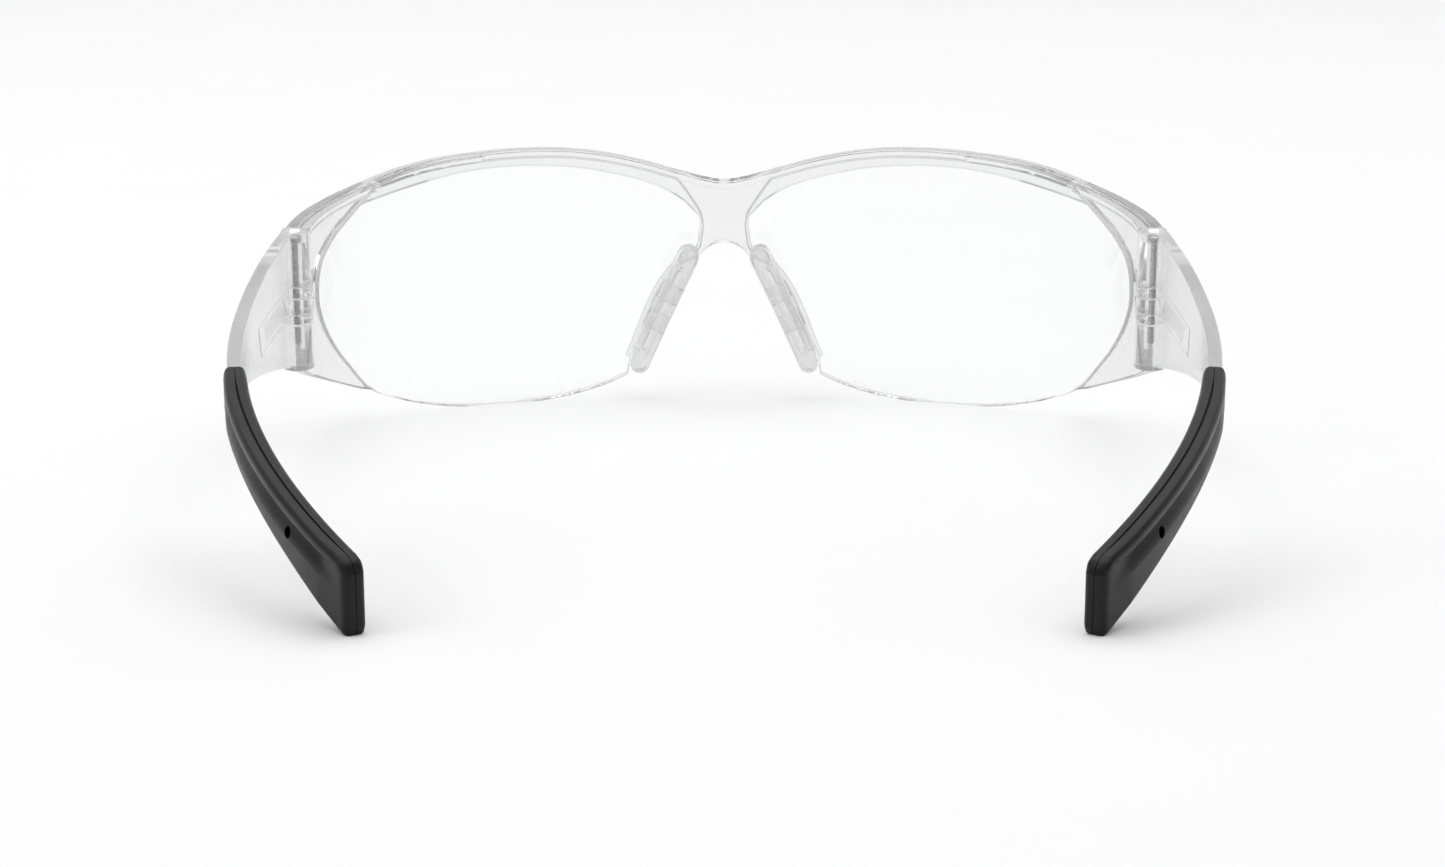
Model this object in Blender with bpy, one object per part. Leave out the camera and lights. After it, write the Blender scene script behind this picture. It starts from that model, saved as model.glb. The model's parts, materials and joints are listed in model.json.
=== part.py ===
"""Clear safety glasses: a wrap-around front with two lenses, and two folding temples.

The glasses are drawn in the frame of their hinges: x to the wearer's right, y forward and z up,
with the hinge axes vertical. The "rest" empty then tips them onto the plane they stand on, which
is z = 0. The right-hand pieces are modelled, and the left-hand ones are their mirror images.

The front is drawn unrolled. s runs along the outer face from the middle towards the right
hinge, z is up and d is the depth behind the outer face. wrap() then bends it round the face.
"""

import math

import bmesh
import bpy
import numpy as np
from mathutils import Matrix, Vector

MM = 0.001
GAP = 0.3 * MM                      # air between neighbouring pieces

# Plan of the front's outer face: an ellipse with its middle on x = 0 and y = 0.
FACE_HALF_WIDTH = 72.25 * MM
FACE_DEPTH = 42.0 * MM
FACE_UPRIGHT_RADIUS = 110.0 * MM    # the lenses also curve from top to bottom
FACE_MIDDLE_Z = -5.0 * MM
S_STEP = 4.0 * MM                   # facet sizes of the bent front
Z_STEP = 6.0 * MM

# Depths behind the outer face.
PANEL_BACK = 2.4 * MM
LIP_BACK = 0.7 * MM                 # the lip in front of the lens
LENS_FRONT = LIP_BACK + GAP
LENS_BACK = 3.0 * MM
BROW_RAIL_BACK = 3.0 * MM
WING_RAIL_BACK = 4.2 * MM
RAIL_HEIGHT = 1.1 * MM
RAIL_FRONT = 1.2 * MM               # the rails start inside the panel
RAIL_DROP = 0.1                     # and this much below its top edge, in millimetres
RAIL_STEP_S = 44.0 * MM             # where the rail deepens towards the hinge
BROW_RAIL_END_S = 57.0 * MM         # the shallow rail ends inside the deep one
WING_END_S = 88.0 * MM

# Hinges: the front holds two of the five knuckles, the temple holds three.
HINGE_X = 70.25 * MM
KNUCKLE_RADIUS = 2.7 * MM
KNUCKLE_TOP = 11.8 * MM
KNUCKLE_BOTTOM = -11.4 * MM
FRONT_KNUCKLES = ((0.9 * MM, 2.8 * MM), (-3.6 * MM, -1.9 * MM))
SCREW_RADIUS = 0.7 * MM
SCREW_HEAD_RADIUS = 1.25 * MM
SCREW_HEAD_HEIGHT = 0.9 * MM
SCREW_RECESS = 0.6 * MM
SCREW_CHAMFER = 0.3 * MM
SLOT_WIDTH = 0.4 * MM
SLOT_DEPTH = 0.4 * MM
SCREW_END = -7.0 * MM
BORE_END = -8.0 * MM
RUNNING_FIT = 0.08 * MM
FIN_REACH_S = 81.9 * MM             # the knuckles' fins run out on the wing here
FIN_SLOPE = 0.06                    # and rise this much on their way to it

# Temples: y is measured backwards from the hinge, d inwards from the outer face.
TEMPLE_BOW_X = 74.0 * MM            # widest point of the temple's outer face
TEMPLE_BOW_Y = 40.0 * MM
TEMPLE_LENGTH = 120.0 * MM
TEMPLE_TIP_INSET = 24.4 * MM        # how far the tip comes in from the widest point
TIP_INSET_POWER = 2.4
TEMPLE_DROP = 14.4 * MM             # how far the top edge falls by the tip
DROP_POWER = 2.35
TEMPLE_SLIM_Y = 66.0 * MM           # the temple is at its lowest height here
SLIM_HEIGHT = 5.0 * MM
TIP_HEIGHT = 10.0 * MM
TAPER_POWER = 1.05
FLARE_POWER = 3.0                   # how late the height grows again towards the tip
TEMPLE_THICKNESS = 2.2 * MM
TANG_THICKNESS = 1.4 * MM
TANG_START_Y = 69.0 * MM
TANG_END_Y = 110.0 * MM
TANG_MARGIN = 0.9 * MM              # how much lower than the temple the tang is, each edge
SLEEVE_START_Y = 66.5 * MM
SLEEVE_WALL = 0.6 * MM              # rubber outside the temple's faces
SLEEVE_EDGE = 0.6 * MM              # rubber above and below the temple's edges
STATION_STEP = 3.0 * MM             # between the points of the temple's side outline
SLEEVE_HOLE_Y = 106.0 * MM
SLEEVE_HOLE_RADIUS = 0.75 * MM

# Nose pads, drawn on the unrolled front along the nose arm.
PAD_TOP = (6.7 * MM, -2.6 * MM)
PAD_BOTTOM = (15.6 * MM, -20.3 * MM)
PAD_WIDTH = 3.8 * MM
PAD_FRONT = LENS_BACK + GAP
PAD_BACK = 7.6 * MM
BLADE_WIDTH = 1.0 * MM
BLADE_BACK = 6.0 * MM
WINDOW_LENGTH = 3.2 * MM
WINDOW_PLACES = (0.36, 0.64)        # along the pad, from its top
ARM_WIDTH = 2.0 * MM
ARM_FRONT = 0.6 * MM

# The plane the glasses stand on touches the lenses and the sleeves.
LENS_REST = (32.5 * MM, -27.5 * MM)
TIP_REST = (-119.0 * MM, -12.4 * MM)

# Outlines on the unrolled front, (s, z) in millimetres. The middle of the top edge is lowest.
MIDDLE_TOP = 10.5
MIDDLE_BOTTOM = -0.7
WING_TOP = 11.6
OPEN_BELOW = -33.0                  # cutters run on to here past the open bottom edge
TOP_EDGE = ((3.5, 11.0), (8, 12.3), (17, 15.0), (26, 16.8), (35, 17.5), (44, 17.5),
            (56.5, 16.7), (70, 14.3), (79, 12.9))
NOSE_NOTCH = ((13.4, -21.4), (9.1, -12.6), (4.9, -4.0), (2.9, -1.7))
WINDOW_TOP = ((59, 12.6), (52, 13.7), (45.6, 14.4), (39, 14.6), (32.8, 14.3), (26.4, 13.6),
              (20.2, 12.3), (14, 10.5), (9.1, 8.2), (6.0, 5.6), (4.4, 3.1), (4.7, 0.3), (5.4, -1.9),
              (9.6, -4.9))
LENS_TOP = ((56.5, 15.3), (44, 16.1), (35, 16.1), (26, 15.4), (17, 13.6))
LENS_SIDE = ((67.9, -20.8), (72.5, -16.0), (76.8, -11.0), (80.2, -5.5), (81.2, -1.8),
             (80.0, 3.3), (76.8, 6.5), (71.5, 10.0))
LENS_BOTTOM = ((20.8, -25.1), (27.2, -26.7), (33.8, -27.5), (40.4, -27.8), (47.1, -27.3),
               (53.9, -26.2), (60.8, -24.2))
LIP_WIDTH = 0.6                     # in millimetres, as the outlines are


# ---------------------------------------------------------------- scene and materials


def clear_scene():
    for obj in list(bpy.data.objects):
        bpy.data.objects.remove(obj)


def collection(name):
    made = bpy.data.collections.new(name)
    bpy.context.scene.collection.children.link(made)
    return made


def material(name, colour, roughness, metallic=0.0, alpha=1.0):
    made = bpy.data.materials.new(name)
    made.use_nodes = True
    shader = made.node_tree.nodes["Principled BSDF"]
    shader.inputs["Base Color"].default_value = (*colour, 1.0)
    shader.inputs["Roughness"].default_value = roughness
    shader.inputs["Metallic"].default_value = metallic
    shader.inputs["Alpha"].default_value = alpha
    return made


def add_object(name, mesh, home):
    obj = bpy.data.objects.new(name, mesh)
    home.objects.link(obj)
    return obj


def mesh_from(bm, name):
    bmesh.ops.recalc_face_normals(bm, faces=bm.faces)
    mesh = bpy.data.meshes.new(name)
    bm.to_mesh(mesh)
    bm.free()
    return mesh


# ---------------------------------------------------------------- flat outlines


def smooth(points):
    """Outline points in millimetres that a curve runs smoothly through."""
    return [(s * MM, z * MM, "AUTO") for s, z in points]


def corners(points):
    return [(s * MM, z * MM, "VECTOR") for s, z in points]


def mirror_points(points):
    return [(-s, z, kind) for s, z, kind in reversed(points)]


def plate(name, outline, low, high, resolution=3):
    """A closed outline of (s, z, handle) points as a plate between two depths."""
    curve = bpy.data.curves.new(name, "CURVE")
    curve.dimensions = "2D"
    curve.fill_mode = "BOTH"
    curve.extrude = (high - low) / 2
    curve.resolution_u = resolution
    spline = curve.splines.new("BEZIER")
    spline.bezier_points.add(len(outline) - 1)
    spline.use_cyclic_u = True
    for point, (s, z, kind) in zip(spline.bezier_points, outline):
        point.co = (s, z, 0)
        point.handle_left_type = kind
        point.handle_right_type = kind
    drawn = add_object(name, curve, CUTTERS)
    drawn.location.z = (low + high) / 2
    bpy.context.view_layer.update()
    evaluated = drawn.evaluated_get(bpy.context.evaluated_depsgraph_get())
    mesh = bpy.data.meshes.new_from_object(evaluated)
    mesh.transform(drawn.matrix_world)
    bpy.data.objects.remove(drawn)
    bm = bmesh.new()
    bm.from_mesh(mesh)
    bmesh.ops.remove_doubles(bm, verts=bm.verts, dist=0.001 * MM)
    return add_object(name, mesh_from(bm, name), CUTTERS)


def cylinder(name, centre, radius, low, high, segments=24):
    bm = bmesh.new()
    bmesh.ops.create_cone(bm, cap_ends=True, segments=segments, radius1=radius, radius2=radius,
                          depth=high - low)
    bmesh.ops.translate(bm, verts=bm.verts, vec=(centre[0], centre[1], (low + high) / 2))
    return add_object(name, mesh_from(bm, name), CUTTERS)


def block(name, low, high):
    bm = bmesh.new()
    bmesh.ops.create_cube(bm, size=1.0)
    size = Vector(high) - Vector(low)
    bmesh.ops.scale(bm, verts=bm.verts, vec=size)
    bmesh.ops.translate(bm, verts=bm.verts, vec=(Vector(high) + Vector(low)) / 2)
    return add_object(name, mesh_from(bm, name), CUTTERS)


def combine(obj, others, operation):
    """Joins the other solids to obj, or cuts them away from it, and removes them."""
    for other in others:
        step = obj.modifiers.new(operation, "BOOLEAN")
        step.operation = operation
        step.object = other
        step.solver = "EXACT"
        bpy.context.view_layer.update()
        evaluated = obj.evaluated_get(bpy.context.evaluated_depsgraph_get())
        mesh = bpy.data.meshes.new_from_object(evaluated)
        obj.modifiers.clear()
        obj.data = mesh
        bpy.data.objects.remove(other)
    return obj


# ---------------------------------------------------------------- bending


def reshape(obj, slices, place):
    """Slices a flat solid at the given (axis, coordinate) planes, then moves its points."""
    bm = bmesh.new()
    bm.from_mesh(obj.data)
    bmesh.ops.remove_doubles(bm, verts=bm.verts, dist=0.002 * MM)
    bmesh.ops.dissolve_limit(bm, angle_limit=math.radians(0.5), verts=bm.verts, edges=bm.edges)
    for axis, at in slices:
        normal = Vector((0, 0, 0))
        normal[axis] = 1
        geometry = bm.verts[:] + bm.edges[:] + bm.faces[:]
        bmesh.ops.bisect_plane(bm, geom=geometry, plane_co=normal * at, plane_no=normal,
                               dist=0.02 * MM)
    for vert in bm.verts:
        vert.co = place(*vert.co)
    bmesh.ops.dissolve_degenerate(bm, edges=bm.edges, dist=0.01 * MM)
    bmesh.ops.triangulate(bm, faces=bm.faces)
    obj.data = mesh_from(bm, obj.name)
    return obj


def steps(low, high, step):
    count = max(1, round((high - low) / step))
    return [low + (high - low) * i / count for i in range(1, count)]


ARC_ANGLES = np.linspace(0, math.pi / 2, 400)
ARC_SPEEDS = np.hypot(FACE_HALF_WIDTH * np.cos(ARC_ANGLES), FACE_DEPTH * np.sin(ARC_ANGLES))
ARC_LENGTHS = np.concatenate(
    ([0], np.cumsum((ARC_SPEEDS[1:] + ARC_SPEEDS[:-1]) / 2 * np.diff(ARC_ANGLES)))
)


def wrap(s, z, d):
    """The place round the face of a point of the unrolled front."""
    angle = float(np.interp(abs(s), ARC_LENGTHS, ARC_ANGLES))
    across = math.sin(angle) / FACE_HALF_WIDTH
    forward = math.cos(angle) / FACE_DEPTH
    length = math.hypot(across, forward)
    sag = (z - FACE_MIDDLE_Z) ** 2 / (2 * FACE_UPRIGHT_RADIUS) * math.cos(angle)
    depth = (d + sag) / length
    x = FACE_HALF_WIDTH * math.sin(angle) - depth * across
    y = FACE_DEPTH * math.cos(angle) - depth * forward
    return Vector((math.copysign(x, s), y, z))


def bend_front(obj):
    slices = [(0, s) for s in steps(-WING_END_S, WING_END_S, S_STEP)]
    slices += [(1, z) for z in steps(-30 * MM, 18 * MM, Z_STEP)]
    return reshape(obj, slices, wrap)


def temple_x(y):
    """x of the temple's outer face, y behind the hinge."""
    past = y - TEMPLE_BOW_Y
    if past < 0:
        rise = TEMPLE_BOW_X - FACE_HALF_WIDTH
        return TEMPLE_BOW_X - rise * (past / TEMPLE_BOW_Y) ** 2
    share = past / (TEMPLE_LENGTH - TEMPLE_BOW_Y)
    return TEMPLE_BOW_X - TEMPLE_TIP_INSET * share ** TIP_INSET_POWER


def temple_top(y):
    return KNUCKLE_TOP - TEMPLE_DROP * (y / TEMPLE_LENGTH) ** DROP_POWER


def temple_bottom(y):
    if y < TEMPLE_SLIM_Y:
        start = KNUCKLE_TOP - KNUCKLE_BOTTOM
        height = SLIM_HEIGHT + (start - SLIM_HEIGHT) * (1 - y / TEMPLE_SLIM_Y) ** TAPER_POWER
    else:
        share = (y - TEMPLE_SLIM_Y) / (TEMPLE_LENGTH - TEMPLE_SLIM_Y)
        height = SLIM_HEIGHT + (TIP_HEIGHT - SLIM_HEIGHT) * share ** FLARE_POWER
    return temple_top(y) - height


def place_temple(y, z, d):
    """The place of a point of the right temple drawn flat."""
    nudge = 0.5 * MM
    slope = (temple_x(y + nudge) - temple_x(y - nudge)) / (2 * nudge)
    length = math.hypot(1, slope)
    return Vector((temple_x(y) - d / length, -y - d * slope / length, z))


def bend_temple(obj):
    slices = [(0, y) for y in steps(0, TEMPLE_LENGTH, S_STEP)]
    return reshape(obj, slices, place_temple)


def temple_outline(start, end, inset):
    """The temple's side outline between two distances, drawn in by inset at both edges."""
    stations = max(4, round((end - start) / STATION_STEP))
    along = [start + (end - start) * i / (stations - 1) for i in range(stations)]
    top = [(y, temple_top(y) - inset) for y in along]
    bottom = [(y, temple_bottom(y) + inset) for y in reversed(along)]
    kinds = ["VECTOR"] + ["AUTO"] * (stations - 2) + ["VECTOR"]
    return [(y, z, kind) for (y, z), kind in zip(top + bottom, kinds + kinds)]


# ---------------------------------------------------------------- the front


def frame_outline():
    right = smooth(TOP_EDGE)
    right += corners([(WING_END_S / MM, WING_TOP), (WING_END_S / MM, -13.0)])
    right += smooth([(77.2, -17.6)])
    right += corners([(69.6, -20.7), (66.0, -15.0), (22.0, -15.0), (18.4, -21.4), (15.6, -23.0)])
    right += smooth(NOSE_NOTCH)
    middle_bottom = smooth([(0, MIDDLE_BOTTOM)])
    middle_top = smooth([(0, MIDDLE_TOP)])
    return middle_top + right + middle_bottom + mirror_points(right)


def wing_rail_outline():
    """The strip along the wing's top edge, from the rail's step to the hinge."""
    end = (WING_END_S / MM - RAIL_DROP, WING_TOP - RAIL_DROP)
    upper = [(s, z - RAIL_DROP) for s, z in TOP_EDGE if s * MM >= RAIL_STEP_S]
    height = RAIL_HEIGHT / MM
    lower = [(s, z - height) for s, z in reversed(upper)]
    return (corners(upper[:1]) + smooth(upper[1:]) + corners([end, (end[0], end[1] - height)])
            + smooth(lower[:-1]) + corners([(lower[-1][0] + height, lower[-1][1])]))


def brow_rail_outline():
    """The shallower strip along the top edge, from one wing to the other."""
    height = RAIL_HEIGHT / MM
    middle = MIDDLE_TOP - 2 * RAIL_DROP
    upper = [(s, z - 2 * RAIL_DROP) for s, z in TOP_EDGE if s * MM <= BROW_RAIL_END_S]
    lower = [(s, z - height) for s, z in upper]
    right = smooth(upper[:-1]) + corners([upper[-1], lower[-1]])
    right += smooth(list(reversed(lower[:-1])))
    return smooth([(0, middle)]) + right + smooth([(0, middle - height)]) + mirror_points(right)


def lens_outline(grow=0.0):
    """The right lens, grown by a margin in millimetres where the frame holds it."""
    side = [(s + grow * 0.9, z + grow * 0.4) for s, z in LENS_SIDE]
    top = [(s, z + grow) for s, z in LENS_TOP]
    inner = [(8.6 - grow, 11.0 + grow), (5.9 - grow, 7.2 + grow / 2), (4.0 - grow, 3.7),
             (4.1 - grow, 0.5)]
    nose = [(4.8 - grow, -2.0), (8.9 - grow, -5.0), (17.1 - grow, -20.9)]
    return (smooth(side) + corners([(65.4 + grow, 13.9 + grow)]) + smooth(top)
            + corners(inner[:1]) + smooth(inner[1:]) + smooth(nose[:2]) + corners(nose[2:])
            + corners([(17.8 - grow, -23.8)]) + smooth(LENS_BOTTOM))


def window_outline():
    """The opening that a lens fills, run on past the open bottom edge."""
    side = [(s - LIP_WIDTH, z) for s, z in LENS_SIDE]
    return (corners([(66.5, OPEN_BELOW), (66.5, -21.5)]) + smooth(side[1:])
            + corners([(66.9, 11.4)]) + smooth(WINDOW_TOP)
            + corners([(17.8, -20.9), (18.8, -24.2), (18.8, OPEN_BELOW)]))


def pocket_outline():
    """The rebate behind the lip that takes the lens, also open at the bottom."""
    outline = lens_outline(GAP / MM)
    count = len(LENS_BOTTOM) + 1
    held = outline[-1:] + outline[:-count]
    return (corners([(LENS_BOTTOM[-1][0], OPEN_BELOW)]) + held
            + corners([(17.2, OPEN_BELOW)]))


def nose_line(share):
    top, bottom = Vector(PAD_TOP), Vector(PAD_BOTTOM)
    return top + (bottom - top) * share


def nose_strip(start, end, width):
    """A round-ended strip along the nose arm, between two shares of the pad's length."""
    first, last = nose_line(start), nose_line(end)
    along = (last - first).normalized()
    side = Vector((-along.y, along.x)) * width / 2
    cap = along * width / 2
    loop = [first + side, first - cap, first - side, last - side, last + cap, last + side]
    return [(p.x, p.y, "AUTO" if i in (1, 4) else "VECTOR") for i, p in enumerate(loop)]


def nose_window(share, width, low, high):
    """A box-shaped hole across the nose blade or pad."""
    half = WINDOW_LENGTH / 2 / (Vector(PAD_BOTTOM) - Vector(PAD_TOP)).length
    first, last = nose_line(share - half), nose_line(share + half)
    along = (last - first).normalized()
    side = Vector((-along.y, along.x)) * width / 2
    loop = [first + side, first - side, last - side, last + side]
    return plate("nose_window", [(p.x, p.y, "VECTOR") for p in loop], low, high)


def mirrored_cutters(cutters):
    """The cutters and their mirror images in x = 0."""
    images = []
    for cutter in cutters:
        mesh = cutter.data.copy()
        mesh.transform(Matrix.Scale(-1, 4, (1, 0, 0)))
        mesh.flip_normals()
        images.append(add_object(cutter.name + "_image", mesh, CUTTERS))
    return cutters + images


def front_knuckle(low, high):
    """One knuckle of the front with the fin that carries it, on the right."""
    reach = wrap(FIN_REACH_S, high, PANEL_BACK)
    root = wrap(FIN_REACH_S, high, PANEL_BACK / 2)
    end = wrap(WING_END_S - 2 * MM, high, PANEL_BACK / 2)
    inner = HINGE_X - KNUCKLE_RADIUS
    flush = FACE_HALF_WIDTH - 0.05 * MM
    loop = [(inner, 0), (flush, 0), (flush, 4.2 * MM), (end.x, end.y), (root.x, root.y),
            (reach.x, reach.y)]
    fin = plate("fin", [(x, y, "VECTOR") for x, y in loop], low, high)
    for vert in fin.data.vertices:
        vert.co.z += vert.co.y * FIN_SLOPE
    barrel = cylinder("barrel", (HINGE_X, 0), KNUCKLE_RADIUS, low, high)
    return combine(fin, [barrel], "UNION")


def front_frame():
    frame = plate("front_frame", frame_outline(), 0, PANEL_BACK)
    rails = [plate("brow_rail", brow_rail_outline(), RAIL_FRONT + 0.1 * MM, BROW_RAIL_BACK)]
    rails += mirrored_cutters([plate("wing_rail", wing_rail_outline(), RAIL_FRONT,
                                     WING_RAIL_BACK)])
    arms = mirrored_cutters([plate("nose_arm", nose_strip(0.02, 0.98, ARM_WIDTH), ARM_FRONT,
                                   LENS_BACK - 0.05 * MM)])
    blades = mirrored_cutters([plate("blade", nose_strip(0.16, 0.9, BLADE_WIDTH), 1 * MM,
                                     BLADE_BACK)])
    combine(frame, rails + arms, "UNION")
    pockets = [plate("pocket", pocket_outline(), LIP_BACK, 8 * MM)]
    windows = [plate("window", window_outline(), -2 * MM, 8 * MM)]
    combine(frame, mirrored_cutters(windows + pockets), "DIFFERENCE")
    combine(frame, blades, "UNION")
    slots = [nose_window(at, 3 * MM, PAD_FRONT + 0.5 * MM, BLADE_BACK - 0.8 * MM)
             for at in WINDOW_PLACES]
    combine(frame, mirrored_cutters(slots), "DIFFERENCE")
    bend_front(frame)
    knuckles = [front_knuckle(low + GAP / 2, high - GAP / 2) for low, high in FRONT_KNUCKLES]
    combine(frame, mirrored_cutters(knuckles), "UNION")
    bores = [cylinder("bore", (HINGE_X, 0), SCREW_RADIUS + RUNNING_FIT, -6 * MM, 6 * MM)]
    beyond = FACE_HALF_WIDTH + 5 * MM
    flats = [block("flush", (FACE_HALF_WIDTH, -5 * MM, -15 * MM), (beyond, 4 * MM, 9 * MM))]
    combine(frame, mirrored_cutters(bores + flats), "DIFFERENCE")
    return frame


def lens():
    made = plate("lens_right", lens_outline(), LENS_FRONT, LENS_BACK)
    bend_front(made)
    return combine(made, [ground()], "DIFFERENCE")


def nose_pad():
    made = plate("nose_pad_right", nose_strip(-0.02, 1.02, PAD_WIDTH), PAD_FRONT, PAD_BACK)
    slot = plate("slot", nose_strip(0.14, 0.92, BLADE_WIDTH + 2 * GAP), 0, BLADE_BACK + GAP)
    windows = [nose_window(at, 6 * MM, PAD_FRONT + 0.8 * MM, BLADE_BACK - 0.6 * MM)
               for at in WINDOW_PLACES]
    combine(made, [slot] + windows, "DIFFERENCE")
    return bend_front(made)


# ---------------------------------------------------------------- the temples


def temple():
    made = plate("temple_right", temple_outline(0, TANG_START_Y, 0), 0, TEMPLE_THICKNESS)
    middle = TEMPLE_THICKNESS / 2
    tang = plate("tang", temple_outline(TANG_START_Y - 2 * MM, TANG_END_Y, TANG_MARGIN),
                 middle - TANG_THICKNESS / 2, middle + TANG_THICKNESS / 2)
    combine(made, [tang], "UNION")
    bend_temple(made)
    barrel = cylinder("barrel", (HINGE_X, 0), KNUCKLE_RADIUS, KNUCKLE_BOTTOM, KNUCKLE_TOP)
    combine(made, [barrel], "UNION")
    clear = KNUCKLE_RADIUS + GAP
    cuts = [cylinder("clear", (HINGE_X, 0), clear, low - GAP / 2, high + GAP / 2, 32)
            for low, high in FRONT_KNUCKLES]
    cuts.append(cylinder("bore", (HINGE_X, 0), SCREW_RADIUS + RUNNING_FIT, BORE_END, 20 * MM))
    head_seat = KNUCKLE_TOP - SCREW_RECESS - SCREW_HEAD_HEIGHT - GAP
    cuts.append(cylinder("head", (HINGE_X, 0), SCREW_HEAD_RADIUS + RUNNING_FIT, head_seat,
                         20 * MM))
    beyond = FACE_HALF_WIDTH + 5 * MM
    cuts.append(block("flush", (FACE_HALF_WIDTH, -0.5 * MM, -15 * MM), (beyond, 4 * MM, 15 * MM)))
    return combine(made, cuts, "DIFFERENCE")


def tip_sleeve():
    outer = temple_outline(SLEEVE_START_Y, TEMPLE_LENGTH, -SLEEVE_EDGE)
    made = plate("tip_sleeve_right", outer, -SLEEVE_WALL, TEMPLE_THICKNESS + SLEEVE_WALL)
    mouth = plate("mouth", temple_outline(SLEEVE_START_Y - 1 * MM, TANG_START_Y + GAP, -GAP), -GAP,
                  TEMPLE_THICKNESS + GAP)
    middle = TEMPLE_THICKNESS / 2
    half = TANG_THICKNESS / 2 + GAP
    pocket = plate("pocket", temple_outline(TANG_START_Y - 1 * MM, TANG_END_Y + GAP,
                                            TANG_MARGIN - GAP), middle - half, middle + half)
    centre_z = (temple_top(SLEEVE_HOLE_Y) + temple_bottom(SLEEVE_HOLE_Y)) / 2
    hole = cylinder("hole", (SLEEVE_HOLE_Y, centre_z), SLEEVE_HOLE_RADIUS, -2 * MM, middle, 16)
    combine(made, [mouth, pocket, hole], "DIFFERENCE")
    bend_temple(made)
    return combine(made, [ground()], "DIFFERENCE")


def hinge_screw():
    """The head, the shank and the end of the screw as one turned profile."""
    head_top = KNUCKLE_TOP - SCREW_RECESS
    head_bottom = head_top - SCREW_HEAD_HEIGHT
    profile = [(0, head_top), (SCREW_HEAD_RADIUS - SCREW_CHAMFER, head_top),
               (SCREW_HEAD_RADIUS, head_top - SCREW_CHAMFER), (SCREW_HEAD_RADIUS, head_bottom),
               (SCREW_RADIUS, head_bottom), (SCREW_RADIUS, SCREW_END + SCREW_CHAMFER),
               (SCREW_RADIUS - SCREW_CHAMFER, SCREW_END), (0, SCREW_END)]
    bm = bmesh.new()
    verts = [bm.verts.new((r, 0, z)) for r, z in profile]
    edges = [bm.edges.new(pair) for pair in zip(verts, verts[1:])]
    bmesh.ops.spin(bm, geom=verts + edges, cent=(0, 0, 0), axis=(0, 0, 1), angle=2 * math.pi,
                   steps=24, use_merge=True)
    bmesh.ops.remove_doubles(bm, verts=bm.verts, dist=0.001 * MM)
    bmesh.ops.translate(bm, verts=bm.verts, vec=(HINGE_X, 0, 0))
    screw = add_object("hinge_screw_right", mesh_from(bm, "hinge_screw_right"), CUTTERS)
    slot = block("slot", (HINGE_X - 2 * MM, -SLOT_WIDTH / 2, head_top - SLOT_DEPTH),
                 (HINGE_X + 2 * MM, SLOT_WIDTH / 2, head_top + 1 * MM))
    return combine(screw, [slot], "DIFFERENCE")


# ---------------------------------------------------------------- assembly


def rest_tilt():
    run = LENS_REST[0] - TIP_REST[0]
    return math.atan2(TIP_REST[1] - LENS_REST[1], run)


def ground():
    """A block whose top is the plane the glasses stand on, in the hinges' frame."""
    slab = block("ground", (-0.2, -0.3, -0.05), (0.2, 0.3, 0))
    tip = Matrix.Translation((0, *LENS_REST)) @ Matrix.Rotation(-rest_tilt(), 4, "X")
    slab.data.transform(tip)
    return slab


def empty(name, place, parent=None):
    made = bpy.data.objects.new(name, None)
    PARTS.objects.link(made)
    made.location = place
    made.parent = parent
    return made


def seat(obj, parent, look):
    """Puts a finished piece in the parts collection, with its material, under a parent."""
    CUTTERS.objects.unlink(obj)
    PARTS.objects.link(obj)
    obj.data.materials.clear()
    obj.data.materials.append(look)
    obj.data.shade_smooth()
    obj.data.set_sharp_from_angle(angle=math.radians(30))
    obj.parent = parent
    if parent.parent is not None:
        obj.location = -parent.location
    return obj


def left_image(obj):
    mesh = obj.data.copy()
    mesh.transform(Matrix.Scale(-1, 4, (1, 0, 0)))
    mesh.flip_normals()
    return add_object(obj.name.replace("right", "left"), mesh, CUTTERS)


def centre_of(objects):
    """Half way between the least and the greatest y of the pieces."""
    bpy.context.view_layer.update()
    ys = [(obj.matrix_world @ vert.co).y for obj in objects for vert in obj.data.vertices]
    return (min(ys) + max(ys)) / 2


def build():
    clear = material("clear_frame", (0.86, 0.88, 0.89), 0.08, alpha=0.45)
    clear_lens = material("clear_lens", (0.95, 0.97, 0.98), 0.03, alpha=0.2)
    soft = material("soft_clear", (0.88, 0.89, 0.88), 0.3, alpha=0.6)
    rubber = material("black_rubber", (0.02, 0.02, 0.022), 0.7)
    steel = material("screw_steel", (0.6, 0.6, 0.6), 0.3, metallic=1.0)

    rest = empty("rest", (0, 0, 0))
    rest.rotation_euler.x = rest_tilt()
    pivots = {side: empty(f"{side}_temple_pivot", (sign * HINGE_X, 0, 0), rest)
              for side, sign in (("left", -1), ("right", 1))}

    made = [seat(front_frame(), rest, clear)]
    fixed = ((lens(), clear_lens), (nose_pad(), soft))
    moving = ((temple(), clear), (tip_sleeve(), rubber), (hinge_screw(), steel))
    for right, look in fixed:
        made += [seat(left_image(right), rest, look), seat(right, rest, look)]
    for right, look in moving:
        made += [seat(left_image(right), pivots["left"], look)]
        made += [seat(right, pivots["right"], look)]

    tilt = rest_tilt()
    plane_height = LENS_REST[0] * math.sin(tilt) + LENS_REST[1] * math.cos(tilt)
    rest.location = (0, -centre_of(made), -plane_height)


clear_scene()
PARTS = collection("safety_glasses")
CUTTERS = collection("cutters")
build()
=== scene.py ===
"""Looks of the clear safety glasses: finer pieces that stand for the CAD's, and a studio.

The pieces are drawn in the frame of the hinges: x to the wearer's right, y forward and z up.
REST then puts them where the CAD's are. The front is drawn unrolled, as (s, z, d), and wrap()
bends it round the face. A temple is drawn straight, as (y, z, d) with its top edge on z = 0, and
place_temple() bends it. The right-hand pieces are made, and the left-hand ones are their images.
"""

import json
import math

import bmesh
import bpy
import numpy as np
from mathutils import Matrix, Vector


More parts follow.
